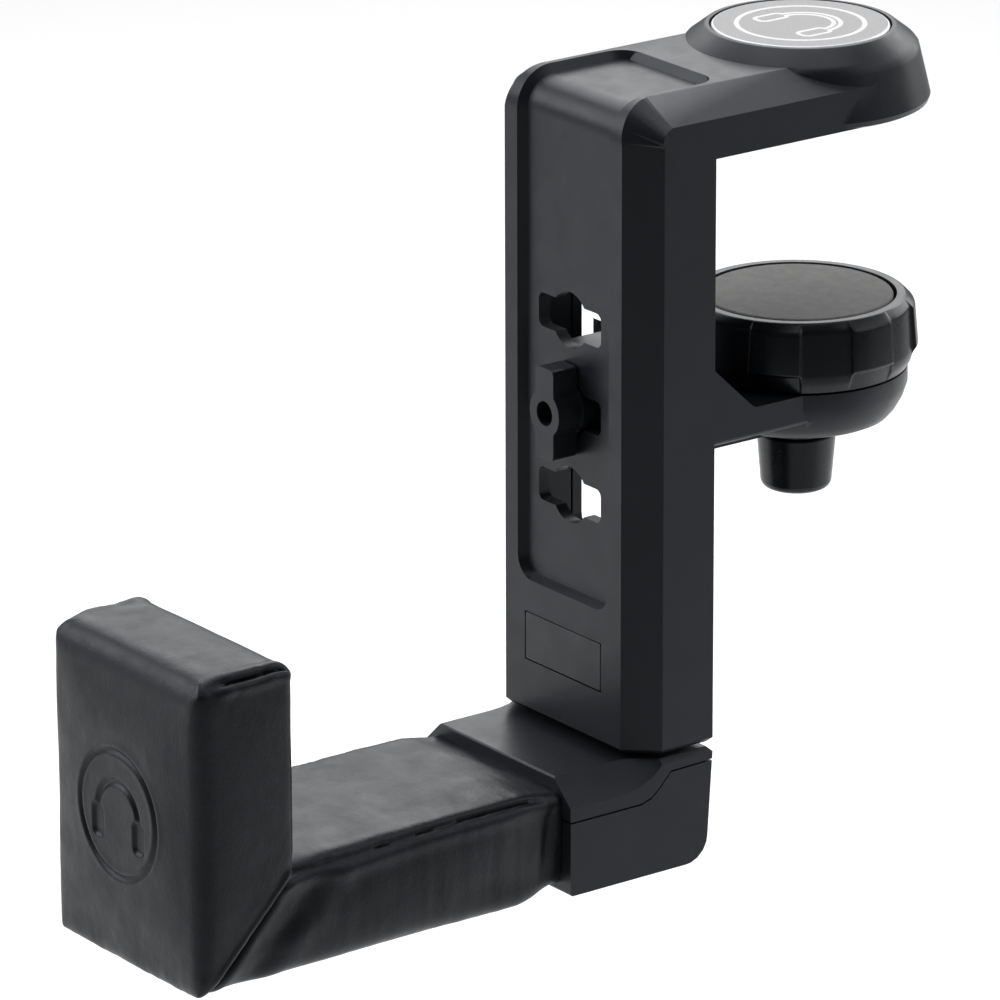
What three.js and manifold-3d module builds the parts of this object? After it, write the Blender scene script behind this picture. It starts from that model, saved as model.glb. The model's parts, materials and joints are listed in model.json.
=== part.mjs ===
// Headphone hook for a desk edge: a C-shaped clamp frame, a lower jaw arm that plugs into one of
// three key slots and carries a screw knob, and a padded hook that swivels under the frame.
// Millimetres, +Z up. The part's origin is the centre of the upper jaw pad's face, where the desk
// top touches it. Shapes are drawn from the foot of the column's front face: x across the column,
// y towards the desk, z up from the foot. The whole assembly is moved to the origin at the end.
import * as THREE from "three";
import { LoftGeometry } from "three/addons/geometries/LoftGeometry.js";
import { mergeVertices } from "three/addons/utils/BufferGeometryUtils.js";
import Module from "manifold-3d";

const wasm = await Module();
wasm.setup();

// ---------- driving dimensions ----------
const GAP = 0.3; // clearance between neighbouring pieces
const WALL = 2.3; // moulded wall
const ROUND = 64; // facets of a large turned piece
const SMALL_ROUND = 14; // facets of a screw, pin or boss

const COLUMN = { half: 21, depth: 16.3, top: 114.5, flatHalf: 16.3, chamfer: 5.4, foot: 0.8 };
const ARM = { under: 103.8, flatHalf: 13.85, chamfer: 3.7, cornerRadius: 7 };
const HEAD = { y: 51, radius: 22.4, top: 117, seatRadius: 15.7, badgeRadius: 15.4 };
const RECESS = { half: 12.8, depth: 1.5, wallRun: 1.0, bottom: 24.2, back: 23.2, corner: 4 };
const SLOT = { heights: [73.2, 57.6, 42.0], half: 8.7, tall: 6, round: 1.2, eye: 5 };
const LABEL = { half: 10.6, bottom: 9.7, top: 18.2, thick: 0.5 };
const COVER = { half: 18.1, thick: 2.1, bottom: 2.3, headRadius: 18.3 };
const CHANNEL = { half: 16, bottom: 28.5, top: 87, corner: 3 }; // open to the rear behind the key slots
const JAW = { face: 103.1, radius: 16.6, thick: 1.6 };
const PLATE = { half: 15.6, thick: 1.5, y: 4.7, z: 107.8, bottom: 90.2, headRadius: 17.2 };

const PIVOT = { y: COLUMN.depth / 2, boltRadius: 2.5, footTop: 9, bossBottom: -8.2 };
const BASE = { half: 21, front: -14.2, back: 16.3, top: -0.9, bottom: -21.3, flatHalf: 16.2, chamfer: 4.5 };
const BASE_ROOM = { half: 18.6, front: -8, back: 13.6, top: -3.2, bottom: -19.2 };
const MOUTH = { half: 18.6, top: -3.3, bottom: -19.6, corner: 3 };
const STRAP = { half: 10.5, thick: 3, z: -11.5, y: -81, top: 25, inner: 0.8 };
const PAD_ARM = { half: 18.9, top: -2.5, bottom: -21.4, front: -72.3, tuck: -9 };
const POST = { half: 21.6, front: -90.7, back: -72.3, bottom: -22.2, top: 33.9 };
const LEATHER = 1.3; // cover thickness

const LOWER_ARM = { half: 7.3, root: 4.1, slopeStart: 17.8, bottom: 47, rootTop: 67, gussetEnd: 29.2, top: 56.2 };
const WIDE_BAR = { half: 15.6, start: 18.4, bottom: 50.8 };
const CUP = { radius: 19.2, floorRadius: 14.8, collarRadius: 6.9, collarBottom: 44.2 };
const CAP = { topRadius: 6.95, bottomRadius: 6.2, bottom: 33.7, bore: 4.6, floor: 0.9 };
const SCREW = { radius: 4, bottom: 34.9, headTop: 64.6, headTall: 4.4, acrossFlats: 13 };
const NUT = { bottom: 47.4, tall: 6.2, acrossFlats: 13 };
const KNOB = { bottom: 56.5, top: 69, lobes: 7, firstLobe: -50, recessRadius: 17.1, recessFloor: 65 };
const KEY = { front: -3.9, back: 1.1, wing: 8.05, wingHalf: 2.5, boss: 4.1, neck: 4.5, bore: 2.15 };

// ---------- solids ----------
const X = new THREE.Vector3(1, 0, 0);
const Y = new THREE.Vector3(0, 1, 0);
const Z = new THREE.Vector3(0, 0, 1);

// A closed geometry as a solid. Triangles that close up when equal points merge are dropped.
function solid(geometry) {
  const bare = new THREE.BufferGeometry().setAttribute("position", geometry.getAttribute("position"));
  bare.setIndex(geometry.index);
  const merged = mergeVertices(bare, 1e-3);
  const triVerts = [];
  for (let i = 0; i < merged.index.count; i += 3) {
    const [a, b, c] = merged.index.array.subarray(i, i + 3);
    if (a !== b && b !== c && c !== a) triVerts.push(a, b, c);
  }
  const vertProperties = new Float32Array(merged.attributes.position.array);
  return new wasm.Manifold(
    new wasm.Mesh({ numProp: 3, vertProperties, triVerts: new Uint32Array(triVerts) }),
  );
}

const join = (...solids) => solids.reduce((a, b) => a.add(b));
const cut = (from, ...tools) => tools.reduce((a, b) => a.subtract(b), from);

function box(x0, x1, y0, y1, z0, z1) {
  const geometry = new THREE.BoxGeometry(x1 - x0, y1 - y0, z1 - z0);
  return solid(geometry.translate((x0 + x1) / 2, (y0 + y1) / 2, (z0 + z1) / 2));
}

// An outline pushed along one axis. It is drawn in (y, z) for x, (x, z) for y and (x, y) for z.
function extruded(axis, outline, from, to) {
  const shape = new THREE.Shape(outline.map(([u, v]) => new THREE.Vector2(u, v)));
  const geometry = new THREE.ExtrudeGeometry(shape, { depth: to - from, bevelEnabled: false });
  const place = new THREE.Matrix4();
  if (axis === "x") place.makeBasis(Y, Z, X).setPosition(from, 0, 0);
  if (axis === "y") place.makeBasis(X, Z, Y.clone().negate()).setPosition(0, to, 0);
  if (axis === "z") place.setPosition(0, 0, from);
  return solid(geometry.applyMatrix4(place));
}

// A polygon of corners [u, v, radius] with each corner rounded by its radius.
function rounded(corners, steps = 4) {
  return corners.flatMap(([u, v, radius = 0], i) => {
    if (!radius) return [[u, v]];
    const corner = new THREE.Vector2(u, v);
    const [before, after] = [corners.at(i - 1), corners[(i + 1) % corners.length]].map(([a, b]) =>
      new THREE.Vector2(a, b).sub(corner).normalize(),
    );
    const halfAngle = Math.acos(before.dot(after)) / 2;
    const reach = radius / Math.tan(halfAngle);
    const centre = before.clone().add(after).setLength(radius / Math.sin(halfAngle)).add(corner);
    const start = before.multiplyScalar(reach).add(corner).sub(centre);
    const end = after.multiplyScalar(reach).add(corner).sub(centre);
    return Array.from({ length: steps + 1 }, (_, k) => {
      const p = start.clone().lerp(end, k / steps).setLength(radius).add(centre);
      return [p.x, p.y];
    });
  });
}

// A rectangle with its corners rounded.
function plaque(u0, u1, v0, v1, radius, steps = 4) {
  return rounded([[u0, v0, radius], [u1, v0, radius], [u1, v1, radius], [u0, v1, radius]], steps);
}

// A profile of [radius, height] points, bottom to top, turned about a line parallel to Z or Y.
function turned(profile, { axis = "z", at = [0, 0], facets = ROUND } = {}) {
  const points = profile.map(([radius, height]) => new THREE.Vector2(radius, height));
  const geometry = new THREE.LatheGeometry(points, facets);
  if (axis === "z") geometry.rotateX(Math.PI / 2).translate(at[0], at[1], 0);
  else geometry.translate(at[0], 0, at[1]);
  return solid(geometry);
}

function rod(radius, from, to, { axis = "z", at = [0, 0], facets = SMALL_ROUND } = {}) {
  const geometry = new THREE.CylinderGeometry(radius, radius, to - from, facets);
  geometry.translate(0, (from + to) / 2, 0);
  if (axis === "z") geometry.rotateX(Math.PI / 2).translate(at[0], at[1], 0);
  else geometry.translate(at[0], 0, at[1]);
  return solid(geometry);
}

// A hexagonal prism along Z with two of its flats facing +Y and -Y.
function hexagon(acrossFlats, from, to, at) {
  const geometry = new THREE.CylinderGeometry(...Array(2).fill(acrossFlats / Math.sqrt(3)), to - from, 6);
  geometry.rotateY(Math.PI / 6).translate(0, (from + to) / 2, 0);
  return solid(geometry.rotateX(Math.PI / 2).translate(at[0], at[1], 0));
}

// Sections of 3D points skinned one after another, with both ends closed.
function lofted(sections) {
  return solid(new LoftGeometry(sections, { capStart: true, capEnd: true }));
}

// ---------- materials ----------
const finish = (color, roughness, metalness = 0) =>
  new THREE.MeshStandardMaterial({ color, roughness, metalness });
const FINISH = {
  shell: finish(0x2f3236, 0.5),
  blackPlastic: finish(0x17181b, 0.35),
  steel: finish(0x9a9da0, 0.35, 1),
  badge: finish(0x9b9da0, 0.4, 0.8),
  label: finish(0x35383d, 0.5),
  rubber: finish(0x55575a, 0.9),
  foam: finish(0x6f6f6f, 1),
  leather: finish(0x232427, 0.55),
};

const assembly = new THREE.Group();

function add(name, shape, material) {
  const mesh = shape.getMesh();
  const geometry = new THREE.BufferGeometry();
  geometry.setAttribute("position", new THREE.BufferAttribute(new Float32Array(mesh.vertProperties), 3));
  geometry.setIndex(new THREE.BufferAttribute(new Uint32Array(mesh.triVerts), 1));
  geometry.computeVertexNormals();
  const piece = new THREE.Mesh(geometry, material.clone());
  piece.name = name;
  assembly.add(piece);
}

// ---------- clamp frame ----------
// Stations follow the frame's outer face: up the column's front, round the corner and along the
// arm's top. Each has a point on that face, the direction into the frame, and how far the corner
// has been turned, from 0 on the column to 1 on the arm.
const onColumn = (z) => ({ y: 0, z, inY: 1, inZ: 0, turn: 0 });
const onArm = (y) => ({ y, z: COLUMN.top, inY: 0, inZ: -1, turn: 1 });
function onCorner(turn) {
  const angle = (turn * Math.PI) / 2;
  const radius = ARM.cornerRadius;
  return {
    y: radius * (1 - Math.cos(angle)),
    z: COLUMN.top - radius * (1 - Math.sin(angle)),
    inY: Math.cos(angle),
    inZ: -Math.sin(angle),
    turn,
  };
}
const CORNER_STEPS = 14;
const CORNER_STATIONS = Array.from({ length: CORNER_STEPS + 1 }, (_, i) => onCorner(i / CORNER_STEPS));

// The point of a station's section at x, a depth below the outer face.
const inside = (station, x, depth) =>
  new THREE.Vector3(x, station.y + station.inY * depth, station.z + station.inZ * depth);

function frameSection(station, inner, shrink = 0) {
  const flat = THREE.MathUtils.lerp(COLUMN.flatHalf, ARM.flatHalf, station.turn) - shrink / 2;
  const chamfer = THREE.MathUtils.lerp(COLUMN.chamfer, ARM.chamfer, station.turn) + shrink / 2;
  const half = COLUMN.half - shrink;
  const right = [inside(station, flat, shrink), inside(station, half, chamfer)];
  right.push(new THREE.Vector3(half, inner[0] - shrink, inner[1]));
  const left = right.map((p) => new THREE.Vector3(-p.x, p.y, p.z)).reverse();
  return [...right, ...left];
}

function frameOutside() {
  const innerCorner = [COLUMN.depth, ARM.under];
  const body = lofted([
    frameSection(onColumn(0), [COLUMN.depth, 0], COLUMN.foot),
    frameSection(onColumn(COLUMN.foot), [COLUMN.depth, COLUMN.foot]),
    ...CORNER_STATIONS.map((station) => frameSection(station, innerCorner)),
    frameSection(onArm(HEAD.y), [HEAD.y, ARM.under]),
  ]);
  const lip = HEAD.seatRadius + 0.5;
  const head = turned(
    [
      [0, ARM.under],
      [21.3, ARM.under],
      [22.1, ARM.under + 0.4],
      [HEAD.radius, ARM.under + 1.3],
      [20.6, 112.6],
      [20.3, 113.7],
      [19.6, 114.6],
      [lip + 0.4, HEAD.top - 0.1],
      [lip, HEAD.top],
      [0, HEAD.top],
    ],
    { at: [0, HEAD.y] },
  );
  return join(body, head);
}

// The shallow channel that runs up the column's front and over onto the arm. Its walls slope, and
// at both ends its corners are rounded.
function recessSection(station, distanceToEnd) {
  const { half, depth, wallRun, corner } = RECESS;
  const left = Math.max(corner - distanceToEnd, 0);
  const width = half - corner + Math.sqrt(corner ** 2 - left ** 2);
  const floor = Math.min(depth, (distanceToEnd * depth) / wallRun);
  const above = 0.6;
  const run = wallRun / depth;
  return [
    inside(station, width - floor * run, floor),
    inside(station, -width + floor * run, floor),
    inside(station, -width - above * run, -above),
    inside(station, width + above * run, -above),
  ];
}

function recess() {
  const fromEnd = [0.02, 0.25, 0.6, 1.0, 1.7, 2.7, 4];
  return lofted([
    ...fromEnd.map((d) => recessSection(onColumn(RECESS.bottom + d), d)),
    ...CORNER_STATIONS.map((station) => recessSection(station, RECESS.corner)),
    ...fromEnd.toReversed().map((d) => recessSection(onArm(RECESS.back - d), d)),
  ]);
}

// A key slot: a wide slot with a round eye.
function keySlot(height, from, to) {
  const tall = SLOT.tall / 2;
  const outline = plaque(-SLOT.half, SLOT.half, height - tall, height + tall, SLOT.round, 3);
  const eye = rod(SLOT.eye, from, to, { axis: "y", at: [0, height], facets: 32 });
  return join(extruded("y", outline, from, to), eye);
}

// The channel behind the slots, or with an offset the block that holds its walls.
function channel(from, to, offset = 0) {
  const { half, bottom, top, corner } = CHANNEL;
  const outline = plaque(-half - offset, half + offset, bottom - offset, top + offset, corner + offset);
  return extruded("y", outline, from, to);
}

// Cover screws: two on the column's rear face, two under the head beneath the jaw pad.
const REAR_SCREWS = [24, 94].map((z) => ({ axis: "y", at: [0, z] }));
const HEAD_SCREWS = [-10, 10].map((x) => ({ axis: "z", at: [x, HEAD.y] }));
const BOSS_RADIUS = 3.3;
const SCREW_CUP = { radius: 4.2, tall: 1.5 }; // raised seats on the cover for the head screws

// The room inside the frame's shell.
function frameRoom() {
  const half = COLUMN.half - WALL - GAP;
  const front = RECESS.depth + WALL;
  const roof = COLUMN.top - RECESS.depth - WALL;
  const plan = [[half, 7.6], [half, COLUMN.depth], [-half, COLUMN.depth], [-half, 7.6]];
  const column = extruded("z", [...plan, [-half + 3, front], [half - 3, front]], PIVOT.footTop, roof);
  const section = [[-half, ARM.under - 1], [half, ARM.under - 1], [half, roof - 1.5]];
  const arm = extruded(
    "y",
    [...section, [half - 3, roof], [-half + 3, roof], [-half, roof - 1.5]],
    front + 2,
    HEAD.y,
  );
  const head = rod(COVER.headRadius + GAP, ARM.under - 1, 112, { at: [0, HEAD.y], facets: ROUND });
  return join(column, arm, head);
}

// The inner cover: an L-shaped plate that closes the column's rear and the arm's underside.
function coverBlank(offset) {
  const half = COVER.half + offset;
  const y = COLUMN.depth - COVER.thick - offset;
  const top = ARM.under + COVER.thick + offset;
  const side = [[y, COVER.bottom - offset], [COLUMN.depth + offset, COVER.bottom - offset]];
  side.push([COLUMN.depth + offset, ARM.under - offset], [HEAD.y, ARM.under - offset]);
  const plate = extruded("x", [...side, [HEAD.y, top], [y, top]], -half, half);
  const place = { at: [0, HEAD.y], facets: ROUND };
  return join(plate, rod(COVER.headRadius + offset, ARM.under - offset, top, place));
}

function buildFrame() {
  const frontWall = RECESS.depth + WALL;
  const slots = SLOT.heights.map((z) => keySlot(z, -2, frontWall + 1));
  const coverFace = COLUMN.depth - COVER.thick - GAP;
  const coverTop = ARM.under + COVER.thick + GAP;
  const rearBosses = REAR_SCREWS.map((place) => rod(BOSS_RADIUS, RECESS.depth, coverFace, place));
  const cupTop = coverTop + SCREW_CUP.tall;
  const headBosses = HEAD_SCREWS.map((place) => rod(BOSS_RADIUS, cupTop, 113, place));
  const bores = [
    ...REAR_SCREWS.map((place) => rod(1.6, frontWall, coverFace + 1, place)),
    ...HEAD_SCREWS.map((place) => rod(1.6, cupTop - 1, 112, place)),
  ];
  const channelWalls = channel(0, coverFace, COLUMN.half - WALL - CHANNEL.half);
  const room = cut(frameRoom(), channelWalls, ...rearBosses, ...headBosses);
  const opening = channel(frontWall, COLUMN.depth + 2);
  const labelPocket = box(
    -LABEL.half - 0.2,
    LABEL.half + 0.2,
    -1,
    LABEL.thick + GAP,
    LABEL.bottom - 0.2,
    LABEL.top + 0.2,
  );
  const badgeSeat = rod(HEAD.seatRadius, HEAD.top - 1.6, HEAD.top + 1, { at: [0, HEAD.y], facets: ROUND });
  const pivotBore = rod(PIVOT.boltRadius + GAP, -1, PIVOT.footTop + 1, { at: [0, PIVOT.y] });
  const seats = [coverBlank(GAP), labelPocket, badgeSeat, pivotBore, opening];
  add("frame_shell", cut(frameOutside(), recess(), room, ...seats, ...slots, ...bores), FINISH.shell);

  const heads = [
    ...REAR_SCREWS.map((place) => screwRoom(place, COLUMN.depth, -1)),
    ...HEAD_SCREWS.map((place) => screwRoom(place, ARM.under + 1.2, 1)),
  ];
  const padSeat = rod(JAW.radius + GAP, ARM.under - 2, ARM.under + 0.9 + GAP, {
    at: [0, HEAD.y],
    facets: ROUND,
  });
  const cups = HEAD_SCREWS.map((place) => rod(SCREW_CUP.radius, ARM.under + 1, cupTop - GAP, place));
  const cover = join(coverBlank(0), ...cups);
  add("frame_back_cover", cut(cover, opening, padSeat, ...heads), FINISH.shell);

  REAR_SCREWS.forEach((place, i) =>
    add(`cover_screw_${i + 1}`, screw(place, COLUMN.depth - 0.1, -1, 9), FINISH.steel),
  );
  HEAD_SCREWS.forEach((place, i) =>
    add(`cover_screw_${i + 3}`, screw(place, ARM.under + 1.3, 1, 6), FINISH.steel),
  );

  add("stiffener_plate", stiffener(), FINISH.steel);
  const label = plaque(-LABEL.half, LABEL.half, LABEL.bottom, LABEL.top, 0.3, 2);
  add("label_plate", extruded("y", label, 0, LABEL.thick), FINISH.label);
  const badge = [[0, HEAD.top - 1.3], [HEAD.badgeRadius, HEAD.top - 1.3], [HEAD.badgeRadius, HEAD.top - 0.3]];
  add("badge_disc", turned([...badge, [15.1, HEAD.top], [0, HEAD.top]], { at: [0, HEAD.y] }), FINISH.badge);
  const edge = 0.4;
  const jaw = [
    [0, JAW.face],
    [JAW.radius - edge, JAW.face],
    [JAW.radius, JAW.face + edge],
    [JAW.radius, JAW.face + JAW.thick],
    [0, JAW.face + JAW.thick],
  ];
  add("jaw_pad", turned(jaw, { at: [0, HEAD.y] }), FINISH.rubber);
}

// A cross-head screw. Its head's outer face is at `face`, and it goes in along `way` (1 or -1).
function screw(place, face, way, length) {
  const [headRadius, headTall, shankRadius, slot] = [2.7, 1.5, 1.3, 0.35];
  const span = (from, to) => [Math.min(from, to), Math.max(from, to)];
  const along = (from, to) => span(face + way * from, face + way * to);
  const head = rod(headRadius, ...along(0, headTall), place);
  const shank = rod(shankRadius, ...along(headTall - 0.1, length), { ...place, facets: 8 });
  const [u, v] = place.at;
  const [near, far] = along(-1, 0.8);
  const bars = [[1.6, slot], [slot, 1.6]].map(([a, b]) =>
    place.axis === "y"
      ? box(u - a, u + a, near, far, v - b, v + b)
      : box(u - a, u + a, v - b, v + b, near, far),
  );
  return cut(join(head, shank), ...bars);
}

// The hole a screw of the same place leaves in a plate: a head seat and a clearance bore.
function screwRoom(place, face, way) {
  const span = (from, to) => [Math.min(from, to), Math.max(from, to)];
  const seat = rod(3.1, ...span(face - way * 3, face + way * 1.65), place);
  return join(seat, rod(1.6, ...span(face, face + way * 6), place));
}

// A steel L that stiffens the frame's corner and head, pierced for the screw bosses.
function stiffener() {
  const { half, thick, y, z, bottom, headRadius } = PLATE;
  const side = [[y, bottom], [y + thick, bottom], [y + thick, z], [HEAD.y, z], [HEAD.y, z + thick]];
  const bent = extruded("x", [...side, [y, z + thick]], -half, half);
  const blank = join(bent, rod(headRadius, z, z + thick, { at: [0, HEAD.y], facets: 40 }));
  const round = BOSS_RADIUS + GAP;
  const holes = [
    ...REAR_SCREWS.map((place) => rod(round, y - 1, y + thick + 1, place)),
    ...HEAD_SCREWS.map((place) => rod(round, z - 1, z + thick + 1, place)),
  ];
  return cut(blank, ...holes);
}

// ---------- swivel pivot: bolt, washers and nut ----------
function buildPivot() {
  const at = [0, PIVOT.y];
  const { boltRadius, bossBottom, footTop } = PIVOT;
  const ring = (radius, from, to) =>
    cut(rod(radius, from, to, { at, facets: 32 }), rod(boltRadius + GAP, from - 1, to + 1, { at }));
  add("pivot_spring_washer", ring(4.4, bossBottom - GAP - 1.2, bossBottom - GAP), FINISH.steel);
  const washerTop = bossBottom - 2 * GAP - 1.2;
  add("pivot_washer", ring(4.9, washerTop - 1, washerTop), FINISH.steel);
  const headTop = washerTop - 1 - GAP;
  const head = hexagon(8, headTop - 3.5, headTop, at);
  const shank = rod(boltRadius, headTop - 0.1, footTop + 6, { at });
  add("pivot_bolt", join(head, shank), FINISH.steel);
  const nutBottom = footTop + GAP;
  const nut = cut(
    hexagon(8, nutBottom, nutBottom + 4, at),
    rod(boltRadius + GAP, nutBottom - 1, nutBottom + 5, { at }),
  );
  add("pivot_nut", nut, FINISH.steel);
}

// ---------- hook base ----------
const BASE_SCREWS = [[-14.4, -4.2], [14.4, -4.2], [-14.4, 10.4], [14.4, 10.4]];
const CORE_SCREWS = [-6, 6].map((x) => [x, -4.6]);

// The block's outside: flat front, drafted and rounded rear, and side chamfers along its front
// that rise in a curve to nothing where the block meets the column.
function baseOutside() {
  const groove = COLUMN.foot;
  const side = rounded(
    [
      [BASE.front, BASE.bottom, 0.6],
      [15, BASE.bottom, 4.6],
      [BASE.back, BASE.top - groove],
      [BASE.back - groove, BASE.top],
      [BASE.front, BASE.top, 0.4],
    ],
    5,
  );
  const block = extruded("x", side, -BASE.half, BASE.half);
  const run = BASE.half - BASE.flatHalf;
  const stations = [[BASE.front - 1, 1], [-3.4, 1], [-1, 0.95], [1, 0.84], [3, 0.64], [4.6, 0.38], [5.4, 0.2]];
  stations.push([BASE.back + 1, 0.2]);
  const chamfer = (sign) =>
    lofted(
      stations.map(([y, share]) => {
        const inner = BASE.half - run * share;
        const low = BASE.top - BASE.chamfer * share;
        const corners = [
          new THREE.Vector3(sign * (inner - 0.2), y, BASE.top + 0.2 * (BASE.chamfer / run)),
          new THREE.Vector3(sign * (BASE.half + 0.2), y, low - 0.2 * (BASE.chamfer / run)),
          new THREE.Vector3(sign * (BASE.half + 0.2), y, BASE.top + 1),
          new THREE.Vector3(sign * (inner - 0.2), y, BASE.top + 1),
        ];
        return sign > 0 ? corners.reverse() : corners;
      }),
    );
  return cut(block, chamfer(1), chamfer(-1));
}

// Everything above, or below, the line where the cover meets the lower shell.
function baseHalf(above) {
  const line = [[BASE.front - 5, -8], [1, -8], [3.2, -7.3], [5.2, -5.6], [7.3, -3.4], [BASE.back + 5, -3.1]];
  const shift = above ? GAP / 2 : -GAP / 2;
  const far = above ? 20 : -60;
  const outline = line.map(([y, z]) => [y, z + shift]);
  outline.push([BASE.back + 5, far], [BASE.front - 5, far]);
  return extruded("x", above ? outline : outline.reverse(), -BASE.half - 5, BASE.half + 5);
}

function buildBase() {
  const { half, front, back, top, bottom } = BASE_ROOM;
  const room = box(-half, half, front, back, bottom, top);
  const mouth = plaque(-MOUTH.half, MOUTH.half, MOUTH.bottom, MOUTH.top, MOUTH.corner);
  const mouthRoom = extruded("y", mouth, BASE.front - 2, front + 1);
  const pivotAt = [0, PIVOT.y];
  const pivotBore = rod(PIVOT.boltRadius + GAP, -30, 2, { at: pivotAt });
  const hollow = cut(baseOutside(), room, mouthRoom);
  const meet = -11;

  const hang = BASE_SCREWS.map((at) => rod(2.9, meet + GAP, top + 1, { at }));
  const coreBoss = CORE_SCREWS.map((at) => rod(2.9, STRAP.z + STRAP.thick / 2 + GAP, top + 1, { at }));
  const pivotBoss = rod(5.1, PIVOT.bossBottom, top + 1, { at: pivotAt, facets: 32 });
  const threads = [...BASE_SCREWS, ...CORE_SCREWS].map((at) => rod(1.6, -14, -4, { at }));
  const upper = join(hollow.intersect(baseHalf(true)), pivotBoss, ...hang, ...coreBoss);
  add("hook_base_cover", cut(upper, pivotBore, ...threads), FINISH.shell);

  const stand = BASE_SCREWS.map((at) => rod(3.6, bottom - 1, meet, { at }));
  const sunk = BASE_SCREWS.map((at) => screwRoom({ axis: "z", at }, bottom - 0.6, 1));
  const sunkBores = BASE_SCREWS.map((at) => rod(1.6, bottom, meet + 1, { at }));
  const hatch = rod(6.4, BASE.bottom - 1, bottom + 1, { at: pivotAt, facets: 32 });
  const lower = join(hollow.intersect(baseHalf(false)), ...stand);
  add("hook_base_shell", cut(lower, hatch, ...sunk, ...sunkBores), FINISH.shell);

  BASE_SCREWS.forEach((at, i) =>
    add(`base_screw_${i + 1}`, screw({ axis: "z", at }, bottom - 0.5, 1, 14), FINISH.steel),
  );
  CORE_SCREWS.forEach((at, i) =>
    add(`core_screw_${i + 1}`, screw({ axis: "z", at }, STRAP.z - 3.4, 1, 9), FINISH.steel),
  );
}

// ---------- padded hook ----------
// The bent steel strap inside the pads, and with an offset the channel that it needs.
function strap(offset) {
  const t = STRAP.thick / 2 + offset;
  const bend = 4;
  const path = [
    [STRAP.inner + offset, STRAP.z - t],
    [STRAP.inner + offset, STRAP.z + t],
    [STRAP.y + t, STRAP.z + t, bend - offset],
    [STRAP.y + t, STRAP.top + offset],
    [STRAP.y - t, STRAP.top + offset],
    [STRAP.y - t, STRAP.z - t, bend + STRAP.thick + offset],
  ];
  return extruded("x", rounded(path), -STRAP.half - offset, STRAP.half + offset);
}

// The side of the mitre that holds the post (or the arm), with half of the gap taken off.
function mitreSide(post) {
  const rise = PAD_ARM.top - POST.bottom;
  const run = POST.back - POST.front;
  const reach = 5;
  const shift = (post ? -1 : 1) * (GAP / 2) * Math.hypot(1, run / rise);
  const high = [POST.back + run * reach + shift, PAD_ARM.top + rise * reach];
  const low = [POST.front - run * reach + shift, POST.bottom - rise * reach];
  const corner = post ? [low[0], high[1]] : [high[0], low[1]];
  const outline = post ? [low, high, corner] : [high, low, corner];
  return extruded("x", outline, -40, 40);
}

// The arm's outside, or its inside with an inset: level in the open, and drawn in at its tucked
// end, where it goes into the base's mouth.
function padArm(inset) {
  const section = (y, half, low, high, round) =>
    plaque(-half + inset, half - inset, low + inset, high - inset, round - inset / 2).map(
      ([x, z]) => new THREE.Vector3(x, y, z),
    );
  const mouth = [MOUTH.half - GAP, MOUTH.bottom + GAP, MOUTH.top - GAP, 3];
  const free = [PAD_ARM.half, PAD_ARM.bottom, PAD_ARM.top, 3.4];
  return lofted([
    section(PAD_ARM.tuck, ...mouth),
    section(BASE.front - 0.4, ...mouth),
    section(BASE.front - 3.6, free[0] - 0.2, free[1] + 0.5, free[2] - 0.4, 3.4),
    section(BASE.front - 9, ...free),
    section(POST.front - 20, ...free),
  ]);
}

function padPost(inset) {
  const depth = plaque(-POST.half + inset, POST.half - inset, POST.front + inset, POST.back - inset, 3.4);
  const rise = plaque(-POST.half + inset, POST.half - inset, POST.bottom + inset, POST.top - inset, 3.4);
  const side = plaque(POST.front + inset, POST.back - inset, POST.bottom + inset, POST.top - inset, 3);
  return extruded("z", depth, POST.bottom + inset, POST.top - inset)
    .intersect(extruded("y", rise, POST.front + inset, POST.back - inset))
    .intersect(extruded("x", side, -POST.half + inset, POST.half - inset));
}

function buildPads() {
  const channel = strap(GAP);
  const fill = LEATHER + GAP;
  const arm = mitreSide(false);
  const post = mitreSide(true);
  add("hook_core", cut(strap(0), ...CORE_SCREWS.map((at) => rod(1.6, -20, 0, { at }))), FINISH.steel);
  add("arm_leather", cut(padArm(0), padArm(LEATHER)).intersect(arm), FINISH.leather);
  add("post_leather", cut(padPost(0), padPost(LEATHER)).intersect(post), FINISH.leather);
  const armEnd = box(-40, 40, -200, PAD_ARM.tuck - 0.1, -60, 60);
  add("arm_foam", cut(padArm(fill).intersect(arm).intersect(armEnd), channel), FINISH.foam);
  add("post_foam", cut(padPost(fill).intersect(post), channel), FINISH.foam);
}

// ---------- lower jaw arm ----------
const [, KEY_HEIGHT] = SLOT.heights;

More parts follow.
